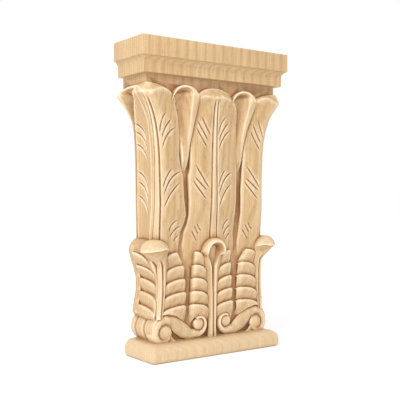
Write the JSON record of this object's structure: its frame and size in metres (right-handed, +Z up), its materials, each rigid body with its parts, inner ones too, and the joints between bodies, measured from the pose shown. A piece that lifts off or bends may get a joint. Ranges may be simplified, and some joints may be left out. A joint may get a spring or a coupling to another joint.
{
  "type": "carved wooden capital",
  "caption": "Flat-backed wooden capital carved with tall leaves, curled leaves and scrolls between a moulded top and a half-round base.",
  "frame": {"origin": "middle of the box at the bottom, in the plane of the underside", "axes": "+Z up the grain from base to top, +Y out of the flat back, +X to the right as seen from the carved face, which looks along -Y"},
  "size_m": [0.15, 0.046, 0.258],
  "materials": {
    "pale_wood": "bare sanded pale hardwood, matt"
  },
  "bodies": {
    "root": {"carved_capital": "pale_wood"}
  },
  "joints": []
}
